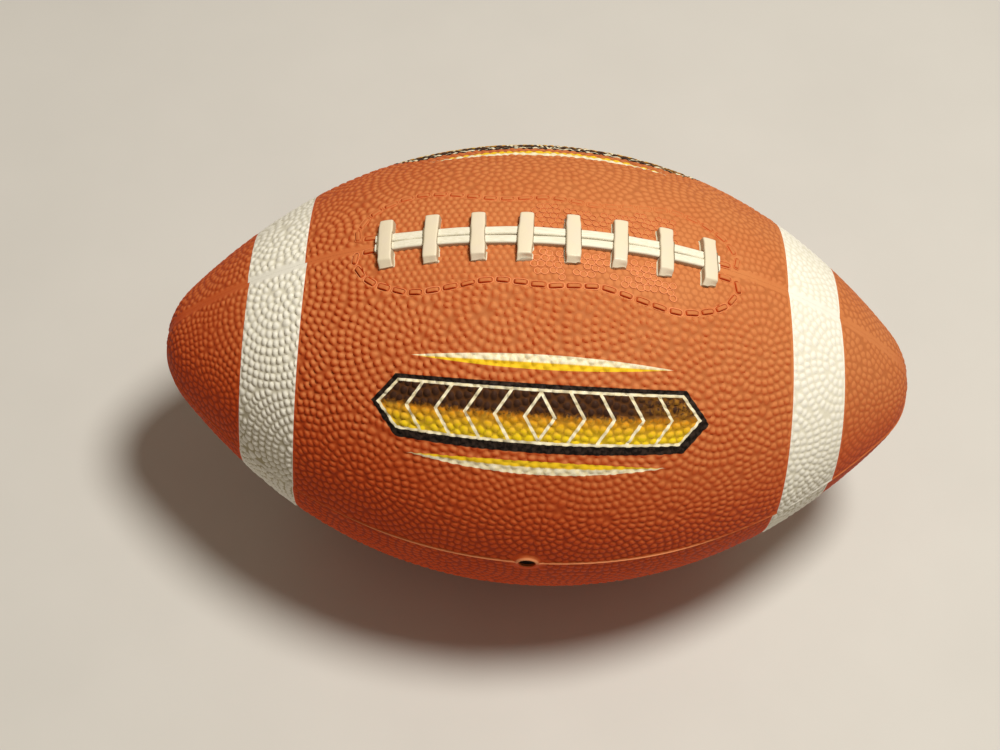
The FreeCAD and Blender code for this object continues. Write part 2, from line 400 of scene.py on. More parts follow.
STITCH_ROWS = {side: stitch_places(path) for side, path in OUTLINE_PATHS.items()}
STITCHES = np.vstack(list(STITCH_ROWS.values()))
STITCH_TREE = tree_of(STITCHES * (1, 1, 0))
OUTLINE_TREE = tree_of(np.vstack([on_seam_side(path) for path in OUTLINE_PATHS.values()]))


def inside_outline(along, across):
    """How far inside the outline each place is, in millimetres across the seam."""
    depth = np.full(along.shape, -1e3)
    for side, path in OUTLINE_PATHS.items():
        order = np.argsort(path[:, 0])
        limit = np.interp(along, path[order, 0], np.abs(path[order, 1]), left=-1e3, right=-1e3)
        depth = np.where(across * side >= 0, limit - np.abs(across), depth)
    return depth


# ---- pebbles


def spread_whorls(random):
    """Centres of the whorls: places spread over the ball, kept apart."""
    centres = []
    places = []
    for _ in range(WHORL_TRIES):
        along = random.uniform(-END_ALONG, END_ALONG)
        angle = random.uniform(-math.pi, math.pi)
        if random.uniform(0, MAX_RADIUS) > profile(along)[1]:
            continue
        point = on_ball(along, angle)
        if centres and np.linalg.norm(np.array(centres) - point, axis=1).min() < WHORL_SPACING:
            continue
        centres.append(point)
        places.append((along, angle))
    return np.array(centres), places


def ring_points(random, along, angle):
    """Points on rings round a whorl's middle, as far out as it can reach."""
    centre = on_ball(along, angle)
    _, _, normal_x, normal_r = profile(along)
    lengthwise = np.array([normal_r, normal_x * math.sin(angle), -normal_x * math.cos(angle)])
    crosswise = np.array([0.0, -math.cos(angle), -math.sin(angle)])
    shift = random.uniform(-0.45, 0.45, 2) * WHORL_SPACING
    points = []
    for ring in range(1, int(1.6 * WHORL_SPACING / RING_PITCH)):
        radius = (ring - 0.5) * RING_PITCH
        count = max(3, round(2 * math.pi * radius / PEBBLE_PITCH))
        turns = (np.arange(count) + random.uniform(0, 1)) * 2 * math.pi / count
        radii = radius + random.normal(0, 0.05 * RING_PITCH, count)
        turns = turns + random.normal(0, 0.07 * PEBBLE_PITCH, count) / radius
        a = shift[0] + radii * np.cos(turns)
        b = shift[1] + radii * np.sin(turns)
        points.append(centre + a[:, None] * lengthwise + b[:, None] * crosswise)
    return np.vstack(points)


def large_pebbles(random):
    """Pebble centres in whorls, which meet where they are equally near."""
    centres, places = spread_whorls(random)
    whorls = tree_of(centres)
    kept = []
    for index, (along, angle) in enumerate(places):
        points = on_ball(*place_of(ring_points(random, along, angle)))
        kept += [point for point in points.tolist() if whorls.find(point)[1] == index]
    return np.array(kept)


def small_pebbles(random):
    """Pebble centres in rows inside the stitched outline."""
    rows = []
    for row in range(-12, 13):
        along = np.arange(-70, 70, SMALL_PITCH) + (row % 2) * SMALL_PITCH / 2 + LACE_CENTRE
        across = np.full(along.shape, (row + 0.5) * SMALL_PITCH * 0.87)
        along = along + random.normal(0, 0.11 * SMALL_PITCH, along.shape)
        across = across + random.normal(0, 0.09 * SMALL_PITCH, along.shape)
        rows.append(np.stack([along, across], axis=1))
    return np.vstack(rows)


def thinned(points, gap):
    """The points with those left out that crowd an earlier one."""
    tree = tree_of(points)
    dropped = set()
    for index, point in enumerate(points.tolist()):
        if index not in dropped:
            dropped.update(near[1] for near in tree.find_range(point, gap) if near[1] > index)
    return points[[index for index in range(len(points)) if index not in dropped]]


def across_seam(along, angle):
    """The signed distance round the ball from the laces, positive towards the valve."""
    wrapped = (angle + math.pi) % (2 * math.pi) - math.pi
    return wrapped * profile(along)[1]


def all_pebbles():
    """Every pebble's centre: small ones inside the outline, large ones elsewhere."""
    random = np.random.default_rng(SEED)
    large = thinned(large_pebbles(random), 0.74 * PEBBLE_PITCH)
    large = large[random.uniform(size=len(large)) > MERGED_SHARE]
    along, angle = place_of(large)
    large = large[inside_outline(along, across_seam(along, angle)) < 0]
    small = small_pebbles(random)
    small = small[inside_outline(small[:, 0], small[:, 1]) > 0]
    return np.vstack([large, on_seam_side(small)]), len(large)


PEBBLES, LARGE_COUNT = all_pebbles()
PEBBLE_TREE = tree_of(PEBBLES)
PEBBLE_TOPS = 1 + 0.12 * np.random.default_rng(SEED + 1).normal(size=len(PEBBLES)).clip(-1.5, 1.5)


def pebble_domes(points, along, on_stripe):
    """The height of each point's pebble, and its share of the dome's full height."""
    found = [PEBBLE_TREE.find_n(point, 2) for point in points.tolist()]
    nearest = np.array([near[0][1] for near in found])
    first = np.array([near[0][2] for near in found])
    second = np.array([near[1][2] for near in found])
    inward = (second - first) / (second + first)
    rise = np.clip((inward - DOME_FROM) / DOME_RUN, 0, 1)
    dome = 0.5 * rise * (2 - rise) + 0.5 * ramp(rise, 0, 1)
    large = PEBBLE_HEIGHT * PEBBLE_TOPS[nearest] * dome
    wear = WEAR_MIDDLE * ramp(along, *WEAR_FROM)
    wear = wear + WEAR_TIP * ramp(along, *WEAR_TIP_FROM)
    low = ramp(-points[:, 2] / np.hypot(points[:, 1], points[:, 2]), *LOW_FROM)
    behind = ramp(points[:, 1], *BEHIND_FROM)
    large = large * (1 - TIP_SOFTER * ramp(np.abs(along), *TIP_FROM)) * (1 - wear)
    low = STRIPE_LOW_SHARE * low if on_stripe else low
    large = large * (1 - SIDE_SOFTER * np.maximum(low, behind))

    # Inside the outline the bumps are lower, and lowest where the raised rings take over.
    netted = ramp(along, NET_FROM, NET_FROM + NET_RUN)
    small = SMALL_HEIGHT * dome * (1 - NET_SOFTER * netted)
    return np.where(nearest < LARGE_COUNT, large, small), dome


# ---- relief of the cover


class Panel:
    """A cover panel: its name, its seam angles, and its stripes' edges."""

    def __init__(self, place, start):
        self.place = place
        self.start = start
        self.end = start + RIGHT_ANGLE
        self.middle = start + RIGHT_ANGLE / 2
        self.by_valve = place.startswith("front")

    def stripe_edge(self, side, x, angle):
        """The arc length of a stripe's edge at each angle: shifted, skewed and bowed."""
        shift, skew, bow = STRIPE_SHIFT[("right_" if side > 0 else "left_") + self.place]
        turn = angle - self.middle
        return along_at(side * x) + shift + skew * turn + bow * (1 - (2 * turn / RIGHT_ANGLE) ** 2)

    def seam_limits(self, along):
        """The angles of the panel's edges at each arc length, cut back at the valve."""
        x, radius, _, _ = profile(along)
        cut = gap = SEAM_GAP / 2 / radius
        if self.by_valve:
            notch = np.sqrt(np.clip(VALVE_HOLE**2 - (x - VALVE_X) ** 2, 0, None))
            cut = np.maximum(gap, np.arcsin(notch / np.maximum(radius, VALVE_HOLE)))
        low = self.start + (cut if self.place == "front_bottom" else gap)
        high = self.end - (cut if self.place == "front_top" else gap)
        return low, high


VALVE_AT = on_ball(along_at(VALVE_X), RIGHT_ANGLE)
PLACES = ("front_top", "front_bottom", "rear_bottom", "rear_top")
PANELS = [Panel(place, quarter * RIGHT_ANGLE) for quarter, place in enumerate(PLACES)]


def stitch_wear(along, side):
    """How much of a stitch is left: all in front of the laces, less behind."""
    behind = 0.55 - 0.35 * ramp(along, -5, 20) * fall(along, 44, 56)
    return np.where(np.asarray(side) > 0, 1.0, behind)


def stitch_pockets(along, across):
    """How deep each place lies in the nearest stitch's pocket, from 0 to 1."""
    places = np.stack([along, across, 0 * along], axis=-1).tolist()
    nearest = STITCHES[[STITCH_TREE.find(place)[1] for place in places]]
    cos, sin = np.cos(nearest[:, 2]), np.sin(nearest[:, 2])
    off_along, off_across = along - nearest[:, 0], across - nearest[:, 1]
    ahead = np.abs(off_along * cos + off_across * sin)
    aside = np.abs(off_across * cos - off_along * sin)
    corner = POCKET_WIDTH / 2
    ahead = np.maximum(ahead - (POCKET_LENGTH / 2 - corner), 0)
    return fall(np.hypot(ahead, aside), corner - 0.45, corner + 0.2)


def relief(panel, along, angle, on_stripe):
    """The cover's height and tone at each place: 0 in a valley, 1 on a top, near 2 for a painted
    highlight on a raised edge, below 0 for painted shade in a pocket.
    """
    points = on_ball(along, angle)
    radius = profile(along)[1]
    domes, share = pebble_domes(points.reshape(-1, 3), along.reshape(-1), on_stripe)
    domes = domes.reshape(along.shape)
    share = share.reshape(along.shape)

    # The seams are plain bands with a shallow valley and a fine line along the joint.
    from_start = radius * np.abs(angle - panel.start)
    from_end = radius * np.abs(panel.end - angle)
    seam = np.minimum(from_start, from_end)
    if panel.by_valve:
        above = panel.place == "front_top"
        seam, valve_seam = (from_start, from_end) if above else (from_end, from_start)
    plain = ramp(seam, *SEAM_PLAIN)
    height = -SEAM_VALLEY_DEPTH * fall(seam, *SEAM_VALLEY)
    height = height - SEAM_LINE_DEPTH * fall(seam, *SEAM_LINE)

    edge = np.full(along.shape, 1e3)
    for side in (-1, 1):
        for x in STRIPE_XS:
            edge = np.minimum(edge, np.abs(along - panel.stripe_edge(side, x, angle)))
    plain = plain * ramp(edge, *(STRIPE_PLAIN if on_stripe else COVER_PLAIN))

    mark = np.zeros(along.shape)
    if panel.place.endswith("top") and not on_stripe:
        across = across_seam(along, angle)
        near = (np.abs(across) < 30) & (np.abs(along) < 80)
        stitch = np.full(along.shape, 1e3)
        stitch[near] = [OUTLINE_TREE.find(point)[2] for point in points[near].tolist()]
        plain = plain * ramp(stitch, *STITCH_PLAIN)
        pocket = np.zeros(along.shape)
        beside = along[near], across[near]
        pocket[near] = stitch_pockets(*beside) * stitch_wear(*beside)
        # The pockets sink, and a lower tone gives them painted shade.
        height = height - POCKET_DEPTH * pocket
        mark = mark - POCKET_TONE * pocket
    if panel.by_valve:
        # The valve's seam is a fine bead on the upper panel's edge that dies away along the ball.
        valve = np.linalg.norm(points - VALVE_AT, axis=-1)
        plain = plain * ramp(valve, VALVE_PLAIN - 1.0, VALVE_PLAIN)
        height = height * ramp(valve, 4.2, VALVE_PLAIN)
        if above:
            bead = bell(valve_seam, BEAD_OFF, BEAD_WIDTH) * ramp(valve, 4.0, 4.6)
            bead = bead * (1 - BEAD_LOSS * ramp(valve, *BEAD_DIES))
            height = height + BEAD_HEIGHT * bead
            # The bead gets a painted highlight, except on the stripes.
            mark = mark + (0.0 if on_stripe else BEAD_TONE) * bead
            plain = plain * ramp(valve_seam, *BEAD_PLAIN)
        else:
            height = height - BEAD_FOOT_DEPTH * fall(valve_seam, *BEAD_FOOT)
            plain = plain * ramp(valve_seam, *BEAD_FOOT_PLAIN)
    return height + (domes - PEBBLE_BASE) * plain, 1 - (1 - share) * plain + mark


# ---- mesh helpers


def join_rows(first, first_at, second, second_at):
    """Faces between two rows of points that run the same way but may differ in number."""
    if len(first) == len(second):
        return [tuple(quad) for quad in zip(first[:-1], first[1:], second[1:], second[:-1])]
    faces = []
    i = j = 0
    ends = len(first) - 1, len(second) - 1
    while (i, j) != ends:
        ahead = j == ends[1] or (i < ends[0] and first_at[i + 1] <= second_at[j + 1])
        faces.append((first[i], first[i + 1] if ahead else second[j + 1], second[j]))
        i, j = (i + 1, j) if ahead else (i, j + 1)
    return faces


def add_object(name, data):
    """A new object in the scene."""
    thing = bpy.data.objects.new(name, data)
    bpy.context.scene.collection.objects.link(thing)
    return thing


def make_piece(name, points, faces, material, replaces=()):
    """A mesh piece that rides on the ball, given in millimetres."""
    mesh = bpy.data.meshes.new(name)
    mesh.from_pydata((np.asarray(points, float) * METRES).tolist(), [], faces)
    mesh.polygons.foreach_set("use_smooth", [True] * len(mesh.polygons))
    mesh.materials.append(material)
    mesh.update()
    mesh.set_sharp_from_angle(angle=SHARP_ANGLE)
    piece = add_object(name, mesh)
    add_values(piece, "pebble", np.ones(len(mesh.vertices)))
    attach(piece, "root")
    if replaces:
        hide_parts(*replaces)
    return piece


def add_values(piece, name, values):
    """One number per vertex, for the materials to read."""
    layers = piece.data.attributes
    layer = layers.get(name) or layers.new(name, "FLOAT", "POINT")
    layer.data.foreach_set("value", np.asarray(values, np.float32))


class Scraps:
    """Small parts beside the top seam that make up one piece, with the tone of each."""

    def __init__(self):
        self.points = []
        self.faces = []
        self.tones = []

    def add(self, along, across, height, faces, tone):
        """Adds one small part."""
        self.faces += [[number + len(self.points) for number in face] for face in faces]
        self.points += on_ball(along, across / profile(along)[1], height).tolist()
        self.tones += [tone] * len(along)

    def make(self, name, material):
        """Makes the piece."""
        piece = make_piece(name, self.points, self.faces, material)
        add_values(piece, "pebble", self.tones)


class Net:
    """Rows of points and faces, with each point's arc length, way round and pebble share."""

    def __init__(self):
        self.points = []
        self.values = []
        self.faces = []
        self.count = 0

    def add_grid(self, along, angle, height, share, inward=False):
        """Adds a grid of points and its faces, and returns its point numbers."""
        rows, columns = along.shape
        numbers = np.arange(rows * columns).reshape(rows, columns) + self.count
        self.points.append(on_ball(along, angle, height).reshape(-1, 3))
        round_ball = across_seam(0 * along, angle)
        self.values.append(np.stack([along, round_ball, share], axis=-1).reshape(-1, 3))
        self.count += rows * columns
        faces = quads(numbers[:-1, :-1], numbers[:-1, 1:], numbers[1:, 1:], numbers[1:, :-1])
        self.faces += (faces[:, ::-1] if inward else faces).tolist()
        return numbers

    def join(self, first, second, inward=False):
        """Adds the faces between two rows of point numbers and places."""
        faces = join_rows(*first, *second)
        self.faces += [face[::-1] for face in faces] if inward else faces

    def close(self, zones, inner):
        """Joins the rim of zones in a row with the rim of an inner grid."""
        numbers, angle, along = inner
        for column, inward in ((0, True), (-1, False)):
            rim = [np.concatenate([zone[k][:, column] for zone in zones]) for k in (0, 2)]
            self.join(rim, (numbers[:, column], along[:, column]), inward)
        for zone, row, inward in ((zones[0], 0, False), (zones[-1], -1, True)):
            self.join((zone[0][row], zone[1][row]), (numbers[row], angle[row]), inward)

    def make(self, name, material, slot, replaces):
        """Makes the piece, with its values for the materials."""
        piece = make_piece(name, np.vstack(self.points), self.faces, material, replaces)
        values = np.vstack(self.values)
        for column, attribute in enumerate(("along", "round", "pebble")):
            add_values(piece, attribute, values[:, column])


def column_shares(width, step):
    """Where a grid's columns stand across a panel, closer together at the seams."""
    fine = np.array(EDGE_COLUMNS) / width
    margin = EDGE_WIDTH / width
    middle = np.linspace(margin, 1 - margin, round(width / step) - 1)
    return np.concatenate([fine, middle, 1 - fine[::-1]])


def net_places(panel, low, high, rows, columns):
    """Arc lengths and angles of a grid between two edges that may run askew."""
    rows = np.asarray(rows)[:, None]
    share = np.asarray(columns)[None, :]
    along = (1 - rows) * low(panel.middle) + rows * high(panel.middle) + 0 * share
    for _ in range(2):
        start, end = panel.seam_limits(along)
        angle = start + (end - start) * share
        along = (1 - rows) * low(angle) + rows * high(angle)
    return along, angle


def row_shares(low, high, step, by_valve):
    """Where a grid's rows stand between its ends, closer together at the valve."""
    count = max(2, round((high - low) / step) + 1)
    places = np.linspace(low, high, count)
    if by_valve and low < VALVE_X < high:
        places = places[np.abs(places - VALVE_X) > VALVE_HOLE + step / 2]
        turns = np.linspace(0, math.pi, 17)
        places = np.sort(np.concatenate([places, VALVE_X + VALVE_HOLE * np.cos(turns)]))
    return (places - low) / (high - low)


# ---- cover panels and stripes


def stripe_edge_of(panel, side, x):
    """An edge of a stripe as a function of the angle."""
    return lambda angle: panel.stripe_edge(side, x, angle)


def end_of(side):
    """The end of the ball as a function of the angle, just short of the pole."""
    return lambda angle: side * (END_ALONG - 0.15) + 0 * angle


def panel_zones(panel):
    """The panel's fields from left to right: their edges, net step and depth."""
    left, right = [[stripe_edge_of(panel, side, x) for x in STRIPE_XS] for side in (-1, 1)]
    edges = [end_of(-1), *left[::-1], *right, end_of(1)]
    field, bed = (NET_STEP, 0.0), (BED_STEP, STRIPE_DEPTH)
    return list(zip(edges, edges[1:], *zip(field, bed, field, bed, field)))


def grid_of(panel, low, high, step):
    """The places of a grid over a field, about a step apart."""
    ends = float(low(panel.middle)), float(high(panel.middle))
    rows = row_shares(*ends, step, panel.by_valve)
    widest = profile(np.linspace(*ends, 9))[1].max() * RIGHT_ANGLE
    return net_places(panel, low, high, rows, column_shares(widest, step))


def make_panel(panel, material):
    """A cover panel as a closed shell: pebbled outside, plain inside."""
    net = Net()
    zones = []
    for low, high, step, depth in panel_zones(panel):
        along, angle = grid_of(panel, low, high, step)
        if depth:
            height, share = np.full(along.shape, -depth), 0 * along
        else:
            height, share = relief(panel, along, angle, False)
        numbers = net.add_grid(along, angle, height, share)
        if zones:
            net.join((zones[-1][0][-1], zones[-1][1][-1]), (numbers[0], angle[0]))
        zones.append((numbers, angle, along))

    along, angle = grid_of(panel, end_of(-1), end_of(1), INNER_STEP)
    inner = net.add_grid(along, angle, np.full(along.shape, -COVER_DEPTH), 0 * along, True)
    net.close(zones, (inner, angle, along))
    node = "cover_panel_" + panel.place
    net.make("cover_" + panel.place, material, "cover_rubber", [node])


def make_stripe(panel, side, material):
    """A stripe inlay: a closed slab that fills its bed, pebbled on top."""
    edges = [stripe_edge_of(panel, side, x) for x in STRIPE_XS[::side]]
    along, angle = grid_of(panel, *edges, NET_STEP)
    height, share = relief(panel, along, angle, True)
    net = Net()
    top = net.add_grid(along, angle, height, share)
    floor = np.full(along.shape, STRIPE_ROOM - STRIPE_DEPTH)
    bottom = net.add_grid(along, angle, floor, 0 * along, True)
    net.close([(top, angle, along)], (bottom, angle, along))
    place = f"{'right' if side > 0 else 'left'}_{panel.place}"
    net.make("inlay_" + place, material, "stripe_rubber", ["stripe_" + place])


# ---- lofted pieces


def loft(sections):
    """Points and faces of a closed solid through sections of equal size."""
    sections = np.array(sections)
    count, size, _ = sections.shape
    numbers = np.arange(count * size).reshape(count, size)
    beside = np.roll(numbers, -1, axis=1)
    faces = quads(numbers[:-1], beside[:-1], beside[1:], numbers[1:]).tolist()
    return sections.reshape(-1, 3), [*faces, numbers[0, ::-1].tolist(), numbers[-1].tolist()]


def rounded_box(half_width, low, high, round_top, round_foot):
    """A section with rounded corners, as offsets across and heights, anticlockwise."""
    turns = np.linspace(0, RIGHT_ANGLE, 5)
    points = []
    corners = [
        (half_width, low, round_foot, -RIGHT_ANGLE),
        (half_width, high, round_top, 0.0),
        (-half_width, high, round_top, RIGHT_ANGLE),
        (-half_width, low, round_foot, 2 * RIGHT_ANGLE),
    ]
    for x, z, radius, start in corners:
        centre = np.array([x - math.copysign(radius, x), z + radius if z == low else z - radius])
        around = np.stack([np.cos(start + turns), np.sin(start + turns)], axis=1)
        points.append(centre + radius * around)
    return np.vstack(points)


def wave(random, count, size, smooth):
    """A smooth random wave of a given size."""
    noise = random.normal(0, 1, count + 2 * smooth)
    kernel = np.hanning(2 * smooth + 1)
    line = np.convolve(noise, kernel / np.sqrt((kernel**2).sum()), "valid")
    return size * line[:count]


def make_cord(side, material):
    """One of the two lace cords: a soft square strand along the top seam."""
    name = "lace_cord_" + side_name(side)
    low, high = box_mm(name)
    random = np.random.default_rng(SEED + 20 + side)
    half_width = (high.y - low.y) / 2 - 0.12
    middle = -side * (abs(low.y + high.y) / 2 - 0.06)
    along = np.linspace(along_at(low.x + 0.5), along_at(high.x - 0.5), CORD_STATIONS)
    drift = wave(random, CORD_STATIONS, 0.07, 12)
    lift = wave(random, CORD_STATIONS, 0.06, 9)
    sections, grime_and_painted_shade = [], []
    for s, y_shift, rise in zip(along, drift, lift):
        section = rounded_box(half_width, -0.1, CORD_TOP + rise, 0.75, 0.2)
        # Painted shade on the cord's outer side below its top.
        outer = ramp(-side * section[:, 0], -0.5, 0.5)
        grime_and_painted_shade += (outer * fall(section[:, 1], CORD_TOP - 0.8, CORD_TOP - 0.2)).tolist()
        x, radius, normal_x, normal_r = profile(s)
        sections.append([
            (x + h * normal_x, middle + y_shift + w, radius + h * normal_r) for w, h in section
        ])
    points, faces = loft(sections)
    piece = make_piece(name + "_strand", points, faces, material, [name])
    add_values(piece, "grime_and_painted_shade", grime_and_painted_shade)


def half_section(half_width, ledge, foot, top):
    """Half of a crossbar's section: a ledge, a side with painted shade and a rounded top."""
    half = [(half_width + ledge, foot, 0.0), (half_width + ledge, foot + LEDGE_HEIGHT, 0.0)]
    half += [(half_width, foot + LEDGE_HEIGHT + 0.1, 1.0), (half_width, (foot + top) / 2, 1.0)]
    middle = half_width - BAR_DRAFT - BAR_ROUND
    for t in np.linspace(0, RIGHT_ANGLE, 6):
        off, rise = middle + BAR_ROUND * math.cos(t), BAR_ROUND * math.sin(t)
        half.append((off, top - BAR_ROUND + rise, max(0.0, 1 - 1.6 * math.sin(t))))
    half.append((middle * 0.4, top + 0.04, 0.0))
    return half


def make_crossbar(number, material):
    """A crossbar: a flat strip, rounded behind, bent down and ragged in front."""
    random = np.random.default_rng(SEED + 40 + number)
    node = f"lace_crossbar_{number}"
    low, high = box_mm(node)
    reach = (high.y - low.y) / 2 - 0.05
    x, radius, normal_x, normal_r = [float(v) for v in profile(CROSSBARS[number - 1])]
    across_radius = radius / normal_r
    stations = np.sin(np.linspace(-RIGHT_ANGLE, RIGHT_ANGLE, BAR_STATIONS))
    lean = random.normal(0, 0.3)
    widths = BAR_HALF_WIDTH + wave(random, BAR_STATIONS, 0.07, 6)
    notch_from = random.uniform(-1.5, 1.0)
    notch = random.uniform(0.3, 1.0)
    bend_at = random.uniform(0.76, 0.85)
    sections, grime_and_painted_shade = [], []
    for t, half_width in zip(stations, widths):
        rear = ramp(t, *BAR_REAR)
        front = max(0.0, -t - bend_at) / (1 - bend_at)
        torn = ramp(-t, *BAR_TORN)
        ball = math.sqrt(across_radius**2 - (t * reach) ** 2) - across_radius
        top = ball + CROSSBAR_TOP - REAR_DROP * rear**2 - FRONT_DROP * front
        roof = fall(abs(t) * reach, CORD_ROOM, CORD_ROOM + 0.5)
        foot = ball - 0.35 + (CORD_TOP + 0.45 - ball) * roof
        ledge = LEDGE_WIDTH * (1 - roof) * ramp(1 - abs(t), 0.0, 0.08)
        half_width = half_width * (1 - REAR_NARROWER * rear**2)
        right = half_section(half_width, ledge * (number <= 4 and t < 0), foot, top)
        left = half_section(half_width, ledge * (number > 4), foot, top)
        # The third value is each point's share of the painted shade on the bar's sides.
        for w, h, painted_shade in right + [(-w, h, painted_shade) for w, h, painted_shade in left[::-1]]:
            grime_and_painted_shade.append(painted_shade)
            ragged = notch * ramp(w, notch_from, notch_from + 0.5)
            ragged = max(0.0, ragged + 0.15 * math.sin(5 * w + number))
            y = t * reach + ragged * torn - 0.5 * rear * (abs(w) / half_width) ** 4
            w = w + lean * t
            out = radius - w * normal_x + h * normal_r
            sections.append((x + w * normal_r + h * normal_x, y, out))
    points, faces = loft(np.array(sections).reshape(BAR_STATIONS, -1, 3))
    piece = make_piece(f"crossbar_{number}", points, faces, material, [node])
    add_values(piece, "grime_and_painted_shade", grime_and_painted_shade)


def stitch_bar(wear):
    """A stitch as a low bar: distances along and across it, heights, and faces."""
    spread = np.sin(np.linspace(-STITCH_TURN, STITCH_TURN, 11))
    u, v = np.meshgrid(spread, spread, indexing="ij")
    rise = ((1 - u**8) * (1 - v**8)) ** 0.5
    top = rise * (0.6 + STITCH_HEIGHT * wear) - 0.6
    places = np.stack([u * STITCH_LENGTH / 2, v * STITCH_WIDTH / 2, top], axis=-1)
    numbers = np.arange(u.size).reshape(u.shape)
    faces = quads(numbers[:-1, :-1], numbers[1:, :-1], numbers[1:, 1:], numbers[:-1, 1:]).tolist()
    rim = [*numbers[:, 0], *numbers[-1, 1:], *numbers[-2::-1, -1], *numbers[0, -2:0:-1]]
    return places.reshape(-1, 3), faces + [[int(number) for number in rim[::-1]]]


def stitch_rim():
    """The fine raised rim round a stitch's pocket, as a closed ring."""
    turns = turns_round(RIM_STEPS)[:, None]
    around = turns_round(8)[None, :]
    swell = RIM_RADIUS * np.cos(around)
    a = np.sign(np.cos(turns)) * np.abs(np.cos(turns)) ** 0.6 * (POCKET_LENGTH / 2 + swell)
    b = np.sign(np.sin(turns)) * np.abs(np.sin(turns)) ** 0.6 * (POCKET_WIDTH / 2 + swell)
    places = np.stack([a, b, RIM_RADIUS * np.sin(around) + 0 * turns - 0.06], axis=-1)
    return places.reshape(-1, 3), ring_faces(RIM_STEPS, 8)


def ring_faces(count, size):
    """Faces of a closed ring of sections of equal size."""
    numbers = np.arange(count * size).reshape(count, size)
    after = np.roll(numbers, -1, axis=0)
    return quads(numbers, after, np.roll(after, -1, axis=1), np.roll(numbers, -1, axis=1)).tolist()


def make_stitches(side, material):
    """The moulded stitches of the outline on one side of the laces."""
    random = np.random.default_rng(SEED + 60 + side)
    scraps = Scraps()
    for along, across, turn in STITCH_ROWS[side]:
        turn = turn + random.normal(0, 0.04)
        length = 1 + random.normal(0, 0.05)
        width = 1 + random.normal(0, 0.06)
        wear = float(stitch_wear(along, side))
        # Each stitch rim gets a painted highlight; the bar's tone gives it part of the painted
        # valley shade.
        rim_tone = 1 + wear * random.uniform(0.15, 0.6)
        for (places, faces), tone in ((stitch_bar(wear), 0.45), (stitch_rim(), rim_tone)):
            a, b = places[:, 0] * length, places[:, 1] * width
            s = along + a * math.cos(turn) - b * math.sin(turn)
            off = across + a * math.sin(turn) + b * math.cos(turn)
            scraps.add(s, off, places[:, 2], faces, tone)
    scraps.make("stitches_" + side_name(side), material)


def make_rings(side, material):
    """The net of fine raised rings inside the outline on one side of the laces."""
    random = np.random.default_rng(SEED + 80 + side)
    turns = turns_round(RING_STEPS)[:, None]
    around = turns_round(6)[None, :]
    middles, angles = place_of(PEBBLES[LARGE_COUNT:])
    offsets = across_seam(middles, angles)
    depths = inside_outline(middles, offsets)
    scraps = Scraps()
    for middle, offset, depth in zip(middles, offsets, depths):
        under_bar = np.abs(middle - CROSSBARS).min() < RING_OFF_BAR
        under_bar = under_bar and abs(offset) < RING_OFF_ENDS
        outside = not NET_FROM < middle < NET_TO or depth < 3.0 + random.uniform(0, 2.5)
        hidden = offset * side < RING_OFF_SEAM or under_bar or outside
        if hidden or random.uniform() < RINGS_MISSING:
            continue
        reach = RING_RADIUS * random.uniform(0.92, 1.05) + RING_TUBE * np.cos(around)
        s = (middle + reach * np.cos(turns) * random.uniform(0.92, 1.08)).reshape(-1)
        off = (offset + 0.9 * reach * np.sin(turns)).reshape(-1)
        rise = np.broadcast_to(RING_TUBE * np.sin(around) + 0.02, (RING_STEPS, 6)).reshape(-1)
        scraps.add(s, off, rise, ring_faces(RING_STEPS, 6), RING_TONES[side])
    scraps.make("rings_" + side_name(side), material)


def make_valve_lip(material):
    """The raised rim round the valve's hole, higher above the seam than below."""
    outline = smooth_path(LIP_OUTLINE, 0.12)
    turns = turns_round(LIP_STEPS)[:, None]
    off, rise = outline.T
    along = along_at(VALVE_X) + off * np.cos(turns)
    angle = RIGHT_ANGLE - off * np.sin(turns) / profile(along)[1]
    height = np.where(rise > 0, rise * (0.7 + 0.3 * np.sin(turns)), rise)
    bead = bell(off * np.sin(turns), 0.4, 0.35)
    bead = bead * ramp(off, 3.6, 4.2) * ramp(rise, -0.3, 0.0)
    height = np.maximum(height, 0.75 * bead)
    points = on_ball(along, angle, height).reshape(-1, 3)
    faces = ring_faces(LIP_STEPS, len(off))
    piece = make_piece("valve_lip", points, faces, material)
    # Tones for a painted highlight on the lip's upper ridge and bead, and painted shade inside the
    # hole.
    ridge = bell(off, 3.8, 0.75) * np.clip(0.4 + np.sin(turns), 0, 1)
    inside = np.where(off < 3.1, -1.0, 0.0)
    add_values(piece, "pebble", (1 + np.maximum(ridge, 0.85 * bead) + inside).reshape(-1))


# ---- materials


